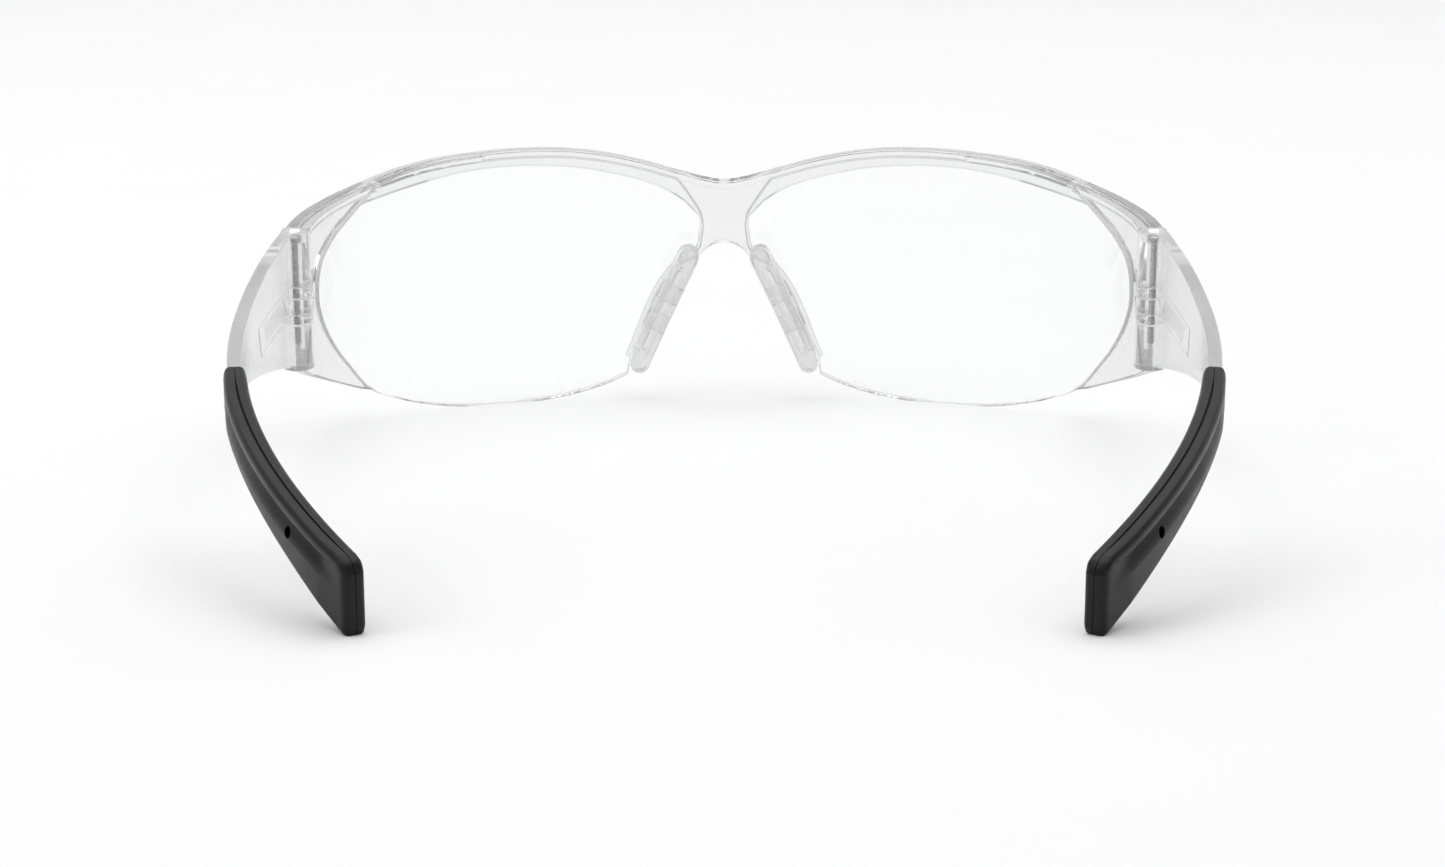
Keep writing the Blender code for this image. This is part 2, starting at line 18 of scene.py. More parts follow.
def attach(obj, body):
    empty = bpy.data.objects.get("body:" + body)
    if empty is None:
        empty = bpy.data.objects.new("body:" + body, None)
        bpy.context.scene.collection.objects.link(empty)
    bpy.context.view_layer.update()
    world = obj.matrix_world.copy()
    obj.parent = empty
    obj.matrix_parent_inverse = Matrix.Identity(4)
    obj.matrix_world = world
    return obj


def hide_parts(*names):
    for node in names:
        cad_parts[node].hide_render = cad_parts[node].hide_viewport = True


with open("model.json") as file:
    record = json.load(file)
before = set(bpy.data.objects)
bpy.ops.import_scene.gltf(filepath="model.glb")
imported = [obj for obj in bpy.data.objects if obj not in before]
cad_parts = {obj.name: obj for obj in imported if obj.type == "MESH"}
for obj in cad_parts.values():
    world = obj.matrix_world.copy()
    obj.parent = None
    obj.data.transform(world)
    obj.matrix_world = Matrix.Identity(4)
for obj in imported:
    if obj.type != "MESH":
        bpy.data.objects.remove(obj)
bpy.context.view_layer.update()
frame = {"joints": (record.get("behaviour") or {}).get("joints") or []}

MM = 0.001
GAP = 0.3 * MM
PAST = 1 * MM                       # how far a cutter reaches past what it cuts
WELD = 0.001 * MM                   # points this near are one
HAIR = 0.002 * MM                   # keeps faces that join off one another's planes
WALL_TILT = 0.98                    # walls of a flat solid have normals with less depth than this

# Plan of the front's outer face, and its curve from top to bottom.
FACE_HALF_WIDTH = 72.25 * MM
FACE_DEPTH = 42.0 * MM
FACE_UPRIGHT_RADIUS = 110.0 * MM
FACE_MIDDLE_Z = -5.0 * MM
FACE_LOW_Z = -30.0 * MM
FACE_HIGH_Z = 18.0 * MM
S_STEP = 2.0 * MM
Z_STEP = 3.0 * MM

# Depths behind the outer face.
PANEL_BACK = 2.4 * MM
LIP_BACK = 0.7 * MM
LENS_FRONT = LIP_BACK + GAP
LENS_BACK = 3.0 * MM
POCKET_BACK = 8.0 * MM              # behind everything on the front
BROW_RAIL_BACK = 3.0 * MM
WING_RAIL_BACK = 4.2 * MM
RAIL_FRONT = 1.2 * MM
RAIL_HEIGHT = 1.1                   # in millimetres, as the outlines are
RAIL_DROP = 0.1
RAIL_STEP_S = 44.0
BROW_RAIL_END_S = 57.0
WING_END_S = 88.0
EDGE_ROUND = 0.25 * MM              # rounding of the clear pieces' edges
TURNED_STEPS = 48
SPIN_START = 0.07                   # keeps turned facets' corners off the flat pieces' planes
FLAT_ANGLE = 0.5                    # degrees; faces that meet at less are made one
SHARP_ANGLE = 38                    # degrees; edges sharper than this aren't shaded smooth

# Hinges.
KNUCKLE_RADIUS = 2.7 * MM
KNUCKLE_ROUND = 0.15 * MM
KNUCKLE_TOP = 11.8 * MM
KNUCKLE_BOTTOM = -11.4 * MM
FRONT_KNUCKLES = ((0.9 * MM, 2.8 * MM), (-3.6 * MM, -1.9 * MM))
BARREL_STEPS = 36
SCREW_RADIUS = 0.7 * MM
THREAD_DEPTH = 0.12 * MM
THREAD_PITCH = 0.45 * MM
SCREW_HEAD_RADIUS = 1.25 * MM
SCREW_HEAD_HEIGHT = 0.9 * MM
SCREW_RECESS = 0.6 * MM
SCREW_CHAMFER = 0.25 * MM
SCREW_SLOT_DEPTH = 0.4 * MM
SCREW_SLOT_HALF_WIDTH = 0.2 * MM
SCREW_STEPS = 24                    # points round the screw
THREAD_STEPS = 8                    # rings in a turn of the thread
SCREW_END = -7.0 * MM
BORE_END = -8.0 * MM
BORE_TOP = 20 * MM                  # well above the hinge
FRONT_BORE = 6 * MM                 # half the height of the bore through the front's knuckles
RUNNING_FIT = 0.08 * MM
FIN_REACH_S = 81.9 * MM
FIN_SLOPE = 0.06
FIN_DEPTH = 4.2 * MM
FIN_END_INSET = 2 * MM
FLUSH_UNDER = 0.03 * MM             # how far the hinge stays under the outer face

# Temples: y is measured backwards from the hinge, d inwards from the outer face.
TEMPLE_BOW_X = 74.0 * MM
TEMPLE_BOW_Y = 40.0 * MM
TEMPLE_LENGTH = 120.0 * MM
TEMPLE_TIP_INSET = 24.4 * MM
TIP_INSET_POWER = 2.4
TEMPLE_DROP = 14.4 * MM
DROP_POWER = 2.35
TEMPLE_SLIM_Y = 66.0 * MM
SLIM_HEIGHT = 5.0 * MM
TIP_HEIGHT = 10.0 * MM
TAPER_POWER = 1.05
FLARE_POWER = 3.0
OUTLINE_STEP = 3.0 * MM
TEMPLE_THICKNESS = 2.2 * MM
TANG_THICKNESS = 1.4 * MM
TANG_START_Y = 69.0 * MM
TANG_END_Y = 110.0 * MM
TANG_MARGIN = 0.9 * MM
TANG_OVERLAP = 2 * MM
SLEEVE_START_Y = 66.5 * MM
SLEEVE_WALL = 0.6 * MM
SLEEVE_EDGE = 0.6 * MM
SLEEVE_FIT = 0.1 * MM               # between the sleeve's mouth and the temple
SLEEVE_ROUND = 0.9 * MM
ARCH_LENGTH = 2.4 * MM              # the rounding of the sleeve's mouth is drawn out to this
SLEEVE_CORNER = 1.8 * MM            # rounding of the sleeve's outline at its tip
SEAM_WIDTH = 0.1 * MM
SEAM_DEPTH = 0.12 * MM
FLUTE_BELOW = 1.7 * MM              # deepest line of the hollow under the sleeve's top rim
FLUTE_ABOVE_WIDTH = 0.9 * MM
FLUTE_BELOW_WIDTH = 2.8 * MM
FLUTE_DEPTH = 0.5 * MM
FLUTE_SWELL = 0.25 * MM             # how far the outer face swells beside the hollow
FLUTE_START_Y = TANG_START_Y + 1 * MM
FLUTE_END_Y = TEMPLE_LENGTH - 2 * MM
FLUTE_EASE_IN = 6 * MM
FLUTE_EASE_OUT = 4 * MM
FLUTE_STEP = 0.2 * MM
SLEEVE_STEP = 1.5 * MM
SLEEVE_HOLE_Y = 106.0 * MM
SLEEVE_HOLE_RADIUS = 0.75 * MM
PANEL_CORNERS = ((6.0, -8.0), (35.0, -5.9), (33.4, -10.9), (5.0, -13.2))
PANEL_DEPTH = 0.25 * MM
PANEL_RIM = 0.03                    # shares of the panel's length and height, as the next are
PANEL_RIBS = 12
RIBS_START = 0.16
RIBS_LENGTH = 0.68
RIB_TOP = 0.2
RIB_FOOT = 0.8
RIB_LEAN = 0.05

# Nose pads, drawn on the unrolled front along the nose arm.
PAD_TOP = (6.7 * MM, -2.6 * MM)
PAD_BOTTOM = (15.6 * MM, -20.3 * MM)
PAD_WIDTH = 3.8 * MM
PAD_FRONT = LENS_BACK + GAP
PAD_BACK = 7.6 * MM
PAD_ROUND = 0.9 * MM
BLADE_WIDTH = 1.0 * MM
BLADE_FRONT = 1.0 * MM
BLADE_BACK = 6.0 * MM
BLADE_WINDOW = (PAD_FRONT + 0.5 * MM, BLADE_BACK - 0.8 * MM)
PAD_WINDOW = (PAD_FRONT + 0.8 * MM, BLADE_BACK - 0.6 * MM)
WINDOW_CUT = 6 * MM                 # crosses the pad, and half of it crosses the blade
WINDOW_ROUND = 0.3 * MM
WINDOW_LENGTH = 3.2 * MM
WINDOW_PLACES = (0.36, 0.64)        # shares of the pad's length, as the four spans are
PAD_SPAN = (-0.02, 1.02)
SLOT_SPAN = (0.14, 0.92)
BLADE_SPAN = (0.16, 0.9)
ARM_SPAN = (0.02, 0.98)
STRIP_END_STEPS = 8
ARM_WIDTH = 2.0 * MM
ARM_FRONT = 0.6 * MM
ARM_BACK = LENS_BACK - 0.05 * MM

# Outlines on the unrolled front, (s, z) in millimetres.
MIDDLE_TOP = 10.5
MIDDLE_BOTTOM = -0.7
WING_TOP = 11.6
OPEN_BELOW = -33.0
RIM_REACH = 0.8                     # walls this near a lens are part of its rims
RIM_END_S = 65 * MM                 # and past this they are its sides
FOOT_Z = -13.5 * MM                 # the wings' lower edges are below this
FOOT_END_S = 82.5 * MM
LENS_SNUG = 0.2                     # how much closer than in the CAD a lens fits its groove
TOP_EDGE = ((3.5, 11.0), (8, 12.3), (17, 15.0), (26, 16.8), (35, 17.5), (44, 17.5),
            (56.5, 16.7), (70, 14.3), (79, 12.9))
NOSE_NOTCH = ((13.4, -21.4), (9.1, -12.6), (4.9, -4.0), (2.9, -1.7))
WINDOW_TOP = ((59, 12.6), (52, 13.7), (45.6, 14.4), (39, 14.6), (32.8, 14.3), (26.4, 13.6),
              (20.2, 12.3), (14, 10.5), (9.1, 8.2), (6.0, 5.6), (4.4, 3.1), (4.7, 0.3),
              (5.4, -1.9), (9.6, -4.9))
LENS_TOP = ((56.5, 15.3), (44, 16.1), (35, 16.1), (26, 15.4), (17, 13.6))
LENS_SIDE = ((67.9, -20.8), (72.5, -16.0), (76.8, -11.0), (80.2, -5.5), (81.2, -1.8),
             (80.0, 3.3), (76.8, 6.5), (71.5, 10.0))
LENS_BOTTOM = ((20.8, -25.1), (27.2, -26.7), (33.8, -27.5), (40.4, -27.8), (47.1, -27.3),
               (53.9, -26.2), (60.8, -24.2))
LIP_WIDTH = 0.6

# Looks.
PLASTIC_IOR = 1.58                  # polycarbonate
# The rubber's reflection is dimmed within this reach of other walls, as painted shade.
HOLLOW_REACH = 4 * MM               # walls this near make a hollow in the rubber
GUIDED_BOUNCES = 32
CAMERA_PLACE = (-0.3 * MM, -552.6 * MM, 156.6 * MM)
CAMERA_TILT = 18                    # degrees down, in the hinges' frame
CAMERA_LENS = 87.2                  # on a sensor 36 wide, in millimetres
CAMERA_SENSOR = 36.0


def rest_matrix():
    """From the hinges' frame to the row's frame, as the left hinge's joint says."""
    joint = next(j for j in frame["joints"] if j["name"] == "left_temple_fold")
    axis = joint["axis"]
    tip = Matrix.Rotation(math.atan2(-axis[1], axis[2]), 4, "X")
    return Matrix.Translation((0, *joint["pos_m"][1:])) @ tip, -joint["pos_m"][0]


REST, HINGE_X = rest_matrix()


# ---------------------------------------------------------------- solids


def add_object(name, mesh):
    obj = bpy.data.objects.new(name, mesh)
    bpy.context.scene.collection.objects.link(obj)
    return obj


def mesh_from(bm, name):
    bmesh.ops.recalc_face_normals(bm, faces=bm.faces)
    mesh = bpy.data.meshes.new(name)
    bm.to_mesh(mesh)
    bm.free()
    return mesh


def smooth(points):
    """Outline points in millimetres that a curve runs smoothly through."""
    return [(s * MM, z * MM, "AUTO") for s, z in points]


def corners(points):
    return [(s * MM, z * MM, "VECTOR") for s, z in points]


def mirror_points(points):
    return [(-s, z, kind) for s, z, kind in reversed(points)]


def plate(name, loops, low, high, rounding=0.0, resolution=8):
    """Closed loops of (s, z, handle) points as a plate between two depths, with round edges."""
    curve = bpy.data.curves.new(name, "CURVE")
    curve.dimensions = "2D"
    curve.fill_mode = "BOTH"
    curve.extrude = (high - low) / 2 - rounding
    curve.bevel_depth = rounding
    curve.offset = -rounding
    curve.bevel_resolution = 2
    curve.resolution_u = resolution
    for loop in loops:
        spline = curve.splines.new("BEZIER")
        spline.bezier_points.add(len(loop) - 1)
        spline.use_cyclic_u = True
        for point, (s, z, kind) in zip(spline.bezier_points, loop):
            point.co = (s, z, 0)
            point.handle_left_type = kind
            point.handle_right_type = kind
    drawn = add_object(name, curve)
    drawn.location.z = (low + high) / 2
    bpy.context.view_layer.update()
    evaluated = drawn.evaluated_get(bpy.context.evaluated_depsgraph_get())
    mesh = bpy.data.meshes.new_from_object(evaluated)
    mesh.transform(drawn.matrix_world)
    bpy.data.objects.remove(drawn)
    bm = bmesh.new()
    bm.from_mesh(mesh)
    bmesh.ops.remove_doubles(bm, verts=bm.verts, dist=2 * WELD)
    return add_object(name, mesh_from(bm, name))


def cylinder(name, centre, radius, low, high):
    """An upright cylinder about centre, as a profile of (radius, z) points turned."""
    bm = bmesh.new()
    across, along = math.cos(SPIN_START), math.sin(SPIN_START)
    profile = ((0, low), (radius, low), (radius, high), (0, high))
    verts = [bm.verts.new((r * across, r * along, z)) for r, z in profile]
    edges = [bm.edges.new(pair) for pair in zip(verts, verts[1:])]
    bmesh.ops.spin(bm, geom=verts + edges, cent=(0, 0, 0), axis=(0, 0, 1), angle=2 * math.pi,
                   steps=TURNED_STEPS, use_merge=True)
    bmesh.ops.remove_doubles(bm, verts=bm.verts, dist=WELD)
    bmesh.ops.translate(bm, verts=bm.verts, vec=(centre[0], centre[1], 0))
    return add_object(name, mesh_from(bm, name))


def block(name, low, high):
    bm = bmesh.new()
    bmesh.ops.create_cube(bm, size=1.0)
    bmesh.ops.scale(bm, verts=bm.verts, vec=Vector(high) - Vector(low))
    bmesh.ops.translate(bm, verts=bm.verts, vec=(Vector(high) + Vector(low)) / 2)
    return add_object(name, mesh_from(bm, name))


def combine(obj, others, operation):
    """Joins the other solids to obj, or cuts them away from it, and removes them."""
    for other in others:
        if obj.data.materials and not other.data.materials:
            other.data.materials.append(obj.data.materials[0])
        step = obj.modifiers.new(operation, "BOOLEAN")
        step.operation = operation
        step.material_mode = "TRANSFER"
        step.object = other
        step.solver = "EXACT"
        bpy.context.view_layer.update()
        evaluated = obj.evaluated_get(bpy.context.evaluated_depsgraph_get())
        mesh = bpy.data.meshes.new_from_object(evaluated)
        obj.modifiers.clear()
        obj.data = mesh
        bpy.data.objects.remove(other)
    return obj


def ground():
    """A block whose top is the floor, in the hinges' frame."""
    slab = block("ground", (-0.2, -0.3, -0.05), (0.2, 0.3, 0))
    slab.data.transform(REST.inverted())
    return slab


# ---------------------------------------------------------------- bending


def steps(low, high, step):
    count = max(1, round((high - low) / step))
    return [low + (high - low) * i / count for i in range(1, count)]


def reshape(obj, slices, place):
    """Slices a flat solid at the given (axis, coordinate) planes, then moves its points."""
    looks = list(obj.data.materials)
    bm = bmesh.new()
    bm.from_mesh(obj.data)
    bmesh.ops.remove_doubles(bm, verts=bm.verts, dist=WELD)
    bmesh.ops.dissolve_limit(bm, angle_limit=math.radians(FLAT_ANGLE), verts=bm.verts,
                             edges=bm.edges, delimit={"MATERIAL"})
    for axis, at in slices:
        normal = Vector((0, 0, 0))
        normal[axis] = 1
        geometry = bm.verts[:] + bm.edges[:] + bm.faces[:]
        bmesh.ops.bisect_plane(bm, geom=geometry, plane_co=normal * at, plane_no=normal,
                               dist=10 * WELD)
    for vert in bm.verts:
        vert.co = place(*vert.co)
    bmesh.ops.dissolve_degenerate(bm, edges=bm.edges, dist=WELD / 2)
    bmesh.ops.triangulate(bm, faces=bm.faces)
    obj.data = mesh_from(bm, obj.name)
    for look in looks:
        obj.data.materials.append(look)
    return obj


ARC_ANGLES = np.linspace(0, math.pi / 2, 400)
ARC_SPEEDS = np.hypot(FACE_HALF_WIDTH * np.cos(ARC_ANGLES), FACE_DEPTH * np.sin(ARC_ANGLES))
ARC_LENGTHS = np.concatenate(
    ([0], np.cumsum((ARC_SPEEDS[1:] + ARC_SPEEDS[:-1]) / 2 * np.diff(ARC_ANGLES)))
)


def wrap(s, z, d):
    """The place round the face of a point of the unrolled front."""
    angle = float(np.interp(abs(s), ARC_LENGTHS, ARC_ANGLES))
    across = math.sin(angle) / FACE_HALF_WIDTH
    forward = math.cos(angle) / FACE_DEPTH
    length = math.hypot(across, forward)
    sag = (z - FACE_MIDDLE_Z) ** 2 / (2 * FACE_UPRIGHT_RADIUS) * math.cos(angle)
    depth = (d + sag) / length
    x = FACE_HALF_WIDTH * math.sin(angle) - depth * across
    y = FACE_DEPTH * math.cos(angle) - depth * forward
    return Vector((math.copysign(x, s), y, z))


def bend_front(obj):
    slices = [(0, s) for s in steps(-WING_END_S * MM, WING_END_S * MM, S_STEP)]
    slices += [(1, z) for z in steps(FACE_LOW_Z, FACE_HIGH_Z, Z_STEP)]
    return reshape(obj, slices, wrap)


def temple_x(y):
    """x of the temple's outer face, y behind the hinge."""
    past = y - TEMPLE_BOW_Y
    if past < 0:
        rise = TEMPLE_BOW_X - FACE_HALF_WIDTH
        return TEMPLE_BOW_X - rise * (past / TEMPLE_BOW_Y) ** 2
    share = past / (TEMPLE_LENGTH - TEMPLE_BOW_Y)
    return TEMPLE_BOW_X - TEMPLE_TIP_INSET * share ** TIP_INSET_POWER


def temple_top(y):
    return KNUCKLE_TOP - TEMPLE_DROP * max(0, y / TEMPLE_LENGTH) ** DROP_POWER


def temple_height(y):
    if y < TEMPLE_SLIM_Y:
        start = KNUCKLE_TOP - KNUCKLE_BOTTOM
        return SLIM_HEIGHT + (start - SLIM_HEIGHT) * (1 - y / TEMPLE_SLIM_Y) ** TAPER_POWER
    share = (y - TEMPLE_SLIM_Y) / (TEMPLE_LENGTH - TEMPLE_SLIM_Y)
    return SLIM_HEIGHT + (TIP_HEIGHT - SLIM_HEIGHT) * share ** FLARE_POWER


def place_temple(y, z, d):
    """The place of a point of the right temple, drawn straight."""
    nudge = 0.5 * MM
    slope = (temple_x(y + nudge) - temple_x(y - nudge)) / (2 * nudge)
    length = math.hypot(1, slope)
    return Vector((temple_x(y) - d / length, -y - d * slope / length, z + temple_top(y)))


def bend_temple(obj):
    return reshape(obj, [(0, y) for y in steps(0, TEMPLE_LENGTH, S_STEP)], place_temple)


def temple_outline(start, end, inset, corner=0.0):
    """The straight temple's side outline, drawn in by inset, with the end's corners rounded."""
    last = end - corner
    count = max(4, round((last - start) / OUTLINE_STEP))
    along = [start + (last - start) * i / (count - 1) for i in range(count)]
    bottom = [(y, inset - temple_height(y)) for y in reversed(along)]
    kinds = ["VECTOR"] + ["AUTO"] * (count - 2) + ["VECTOR"]
    loop = [(y, z, kind) for (y, z), kind in zip(bottom, kinds)]
    top = [(start, -inset, "VECTOR"), (last, -inset, "VECTOR")]
    if not corner:
        return top + loop
    foot = inset - temple_height(end)
    cut = 0.3 * corner
    ends = [(end - cut, -inset - cut, "AUTO"),
            (end, -inset - corner, "VECTOR"),
            (end, foot + corner, "VECTOR"),
            (end - cut, foot + cut, "AUTO")]
    return top + ends + loop


# ---------------------------------------------------------------- the front


def frame_outline():
    """The front's outline, which also runs round both lens openings."""
    side = [(s - LIP_WIDTH, z) for s, z in LENS_SIDE]
    right = smooth(TOP_EDGE) + corners([(WING_END_S, WING_TOP), (WING_END_S, -13.0)])
    right += smooth([(77.2, -17.6)]) + corners([(69.6, -20.7), (66.6, -21.5)])
    right += smooth(side[1:]) + corners([(66.9, 11.4)]) + smooth(WINDOW_TOP)
    right += corners([(17.8, -20.9), (15.6, -23.0)]) + smooth(NOSE_NOTCH)
    return (smooth([(0, MIDDLE_TOP)]) + right + smooth([(0, MIDDLE_BOTTOM)])
            + mirror_points(right))


def wing_rail_outline():
    end = (WING_END_S - RAIL_DROP, WING_TOP - RAIL_DROP)
    upper = [(s, z - RAIL_DROP) for s, z in TOP_EDGE if s >= RAIL_STEP_S]
    lower = [(s, z - RAIL_HEIGHT) for s, z in reversed(upper)]
    last = (lower[-1][0] + RAIL_HEIGHT, lower[-1][1])
    return (corners(upper[:1]) + smooth(upper[1:]) + corners([end, (end[0], end[1] - RAIL_HEIGHT)])
            + smooth(lower[:-1]) + corners([last]))


def brow_rail_outline():
    middle = MIDDLE_TOP - 2 * RAIL_DROP
    upper = [(s, z - 2 * RAIL_DROP) for s, z in TOP_EDGE if s <= BROW_RAIL_END_S]
    lower = [(s, z - RAIL_HEIGHT) for s, z in upper]
    right = smooth(upper[:-1]) + corners([upper[-1], lower[-1]])
    right += smooth(list(reversed(lower[:-1])))
    return (smooth([(0, middle)]) + right + smooth([(0, middle - RAIL_HEIGHT)])
            + mirror_points(right))


def lens_outline(grow=0.0):
    side = [(s + grow * 0.9, z + grow * 0.4) for s, z in LENS_SIDE]
    top = [(s, z + grow) for s, z in LENS_TOP]
    inner = [(8.6 - grow, 11.0 + grow), (5.9 - grow, 7.2 + grow / 2), (4.0 - grow, 3.7),
             (4.1 - grow, 0.5)]
    nose = [(4.8 - grow, -2.0), (8.9 - grow, -5.0), (17.1 - grow, -20.9)]
    return (smooth(side) + corners([(65.4 + grow, 13.9 + grow)]) + smooth(top)
            + corners(inner[:1]) + smooth(inner[1:]) + smooth(nose[:2]) + corners(nose[2:])
            + corners([(17.8 - grow, -23.8)]) + smooth(LENS_BOTTOM))


def pocket_outline():
    outline = lens_outline(GAP / MM)
    count = len(LENS_BOTTOM) + 1
    held = outline[-1:] + outline[:-count]
    return (corners([(LENS_BOTTOM[-1][0], OPEN_BELOW)]) + held
            + corners([(17.2, OPEN_BELOW)]))


def nose_line(share):
    top, bottom = Vector(PAD_TOP), Vector(PAD_BOTTOM)
    return top + (bottom - top) * share


def nose_strip(span, width):
    """A round-ended strip along the nose arm, between two shares of the pad's length."""
    first, last = nose_line(span[0]), nose_line(span[1])
    along = (last - first).normalized()
    side = Vector((-along.y, along.x))
    turn = math.atan2(side.y, side.x)
    loop = []
    for centre, begin in ((first, turn), (last, turn + math.pi)):
        for i in range(STRIP_END_STEPS + 1):
            angle = begin + math.pi * i / STRIP_END_STEPS
            loop.append((centre.x + math.cos(angle) * width / 2,
                         centre.y + math.sin(angle) * width / 2, "VECTOR"))
    return loop


def nose_window(share, width, low, high, rounding=0.0):
    """A box-shaped hole across the nose blade or pad."""
    half = WINDOW_LENGTH / 2 / (Vector(PAD_BOTTOM) - Vector(PAD_TOP)).length
    first, last = nose_line(share - half), nose_line(share + half)
    along = (last - first).normalized()
    side = Vector((-along.y, along.x)) * width / 2
    loop = [first + side, first - side, last - side, last + side]
    return plate("nose_window", [[(p.x, p.y, "VECTOR") for p in loop]], low, high, rounding)


def mirrored_cutters(cutters):
    """The cutters and their mirror images in x = 0."""
    images = []
    for cutter in cutters:
        mesh = cutter.data.copy()
        mesh.transform(Matrix.Scale(-1, 4, (1, 0, 0)))
        mesh.flip_normals()
        images.append(add_object(cutter.name + "_image", mesh))
    return cutters + images


def barrel(low, high):
    """One knuckle's barrel, flattened where it would stand out of the outer face."""
    flat = math.acos((FACE_HALF_WIDTH - FLUSH_UNDER - HINGE_X) / KNUCKLE_RADIUS)
    turns = [flat + (2 * math.pi - 2 * flat) * i / BARREL_STEPS for i in range(BARREL_STEPS + 1)]
    loop = [(HINGE_X + KNUCKLE_RADIUS * math.cos(turn), KNUCKLE_RADIUS * math.sin(turn), "VECTOR")
            for turn in turns]
    return plate("barrel", [loop], low, high, KNUCKLE_ROUND)


def front_knuckle(low, high):
    """One knuckle of the front with the fin that carries it, on the right."""
    reach = wrap(FIN_REACH_S, high, PANEL_BACK)
    root = wrap(FIN_REACH_S, high, PANEL_BACK / 2)
    end = wrap(WING_END_S * MM - FIN_END_INSET, high, PANEL_BACK / 2)
    inner = HINGE_X - KNUCKLE_RADIUS
    flush = FACE_HALF_WIDTH - 2 * FLUSH_UNDER
    loop = [(inner, 0), (flush, 0), (flush, FIN_DEPTH), (end.x, end.y), (root.x, root.y),
            (reach.x, reach.y)]
    fin = plate("fin", [[(x, y, "VECTOR") for x, y in loop]], low, high, KNUCKLE_ROUND / 2)
    for vert in fin.data.vertices:
        vert.co.z += vert.co.y * FIN_SLOPE
    return combine(fin, [barrel(low - HAIR, high + HAIR)], "UNION")


def near_lens(s, z):
    """Whether a point of the unrolled front is inside a lens's outline or just outside it."""
    points = [(a, b) for a, b, kind in lens_outline(RIM_REACH)]
    inside = False
    for (a, b), (c, d) in zip(points, points[1:] + points[:1]):
        if (b > z) != (d > z) and abs(s) < a + (c - a) * (z - b) / (d - b):
            inside = not inside
    return inside


def mark_rims(obj, looks):
    """Gives a flat solid its looks, the second on walls round a lens and the third at its side."""
    for look in looks:
        obj.data.materials.append(look)
    for face in obj.data.polygons:
        if abs(face.normal.z) < WALL_TILT and near_lens(face.center.x, face.center.y):
            face.material_index = 1 if abs(face.center.x) < RIM_END_S else 2
    return obj


def mark_feet(obj):
    """Gives the walls along the wings' lower edges the last of the looks, a grey that paints shade
    on them.
    """
    for face in obj.data.polygons:
        s, z = abs(face.center.x), face.center.y
        low = RIM_END_S < s < FOOT_END_S and z < FOOT_Z
        if abs(face.normal.z) < WALL_TILT and low and not near_lens(s, z):
            face.material_index = len(obj.data.materials) - 1


def front_frame(looks):
    made = plate("front_frame_shape", [frame_outline()], 0, PANEL_BACK, EDGE_ROUND)
    mark_rims(made, looks)
    mark_feet(made)
    rails = [plate("brow_rail", [brow_rail_outline()], RAIL_FRONT + RAIL_DROP * MM,
                   BROW_RAIL_BACK, EDGE_ROUND / 2)]
    rails += mirrored_cutters([plate("wing_rail", [wing_rail_outline()], RAIL_FRONT,
                                     WING_RAIL_BACK, EDGE_ROUND / 2)])
    arms = mirrored_cutters([plate("nose_arm", [nose_strip(ARM_SPAN, ARM_WIDTH)], ARM_FRONT,
                                   ARM_BACK, EDGE_ROUND)])
    blades = mirrored_cutters([plate("blade", [nose_strip(BLADE_SPAN, BLADE_WIDTH)],
                                     BLADE_FRONT, BLADE_BACK, EDGE_ROUND / 2)])
    combine(made, rails + arms, "UNION")
    pocket = mark_rims(plate("pocket", [pocket_outline()], LIP_BACK, POCKET_BACK), looks)
    combine(made, mirrored_cutters([pocket]), "DIFFERENCE")
    combine(made, blades, "UNION")
    slots = [nose_window(at, WINDOW_CUT / 2, *BLADE_WINDOW) for at in WINDOW_PLACES]
    combine(made, mirrored_cutters(slots), "DIFFERENCE")
    bend_front(made)
    knuckles = [front_knuckle(low + GAP / 2, high - GAP / 2) for low, high in FRONT_KNUCKLES]
    combine(made, mirrored_cutters(knuckles), "UNION")
    bore = cylinder("bore", (HINGE_X, 0), SCREW_RADIUS + RUNNING_FIT, -FRONT_BORE, FRONT_BORE)
    return combine(made, mirrored_cutters([bore]), "DIFFERENCE")


def lens(looks):
    made = plate("lens_right_shape", [lens_outline(LENS_SNUG)], LENS_FRONT, LENS_BACK,
                 EDGE_ROUND, 16)
    mark_rims(made, looks)
    return combine(bend_front(made), [ground()], "DIFFERENCE")


def nose_pad():
    made = plate("nose_pad_right_shape", [nose_strip(PAD_SPAN, PAD_WIDTH)], PAD_FRONT, PAD_BACK,
                 PAD_ROUND)
    slot = plate("slot", [nose_strip(SLOT_SPAN, BLADE_WIDTH + 2 * GAP)], 0, BLADE_BACK + GAP)
    windows = [nose_window(at, WINDOW_CUT, *PAD_WINDOW, WINDOW_ROUND) for at in WINDOW_PLACES]
    combine(made, [slot] + windows, "DIFFERENCE")
    return bend_front(made)


# ---------------------------------------------------------------- the temples


def panel_point(along, down):
    """A point of the temple's panel, from shares along it and down it."""
    a, b, c, d = (Vector(corner) for corner in PANEL_CORNERS)
    return a.lerp(b, along).lerp(d.lerp(c, along), down)


def panel_cutters():
    """A shallow groove round a panel on the temple's inner face, and slanting slots in it."""
    low, high = TEMPLE_THICKNESS - PANEL_DEPTH, TEMPLE_THICKNESS + PAST
    rim = [corners([tuple(panel_point(u, v)) for u, v in
                    ((m, m), (1 - m, m), (1 - m, 1 - m), (m, 1 - m))]) for m in (0.0, PANEL_RIM)]
    cutters = [plate("rim", rim, low, high)]
    for i in range(PANEL_RIBS):
        start = RIBS_START + RIBS_LENGTH * i / PANEL_RIBS
        end = start + RIBS_LENGTH / 2 / PANEL_RIBS
        shares = ((start, RIB_TOP), (end, RIB_TOP), (end - RIB_LEAN, RIB_FOOT),
                  (start - RIB_LEAN, RIB_FOOT))
        loop = corners([tuple(panel_point(u, v)) for u, v in shares])
        cutters.append(plate("slot", [loop], low, high))
    return cutters


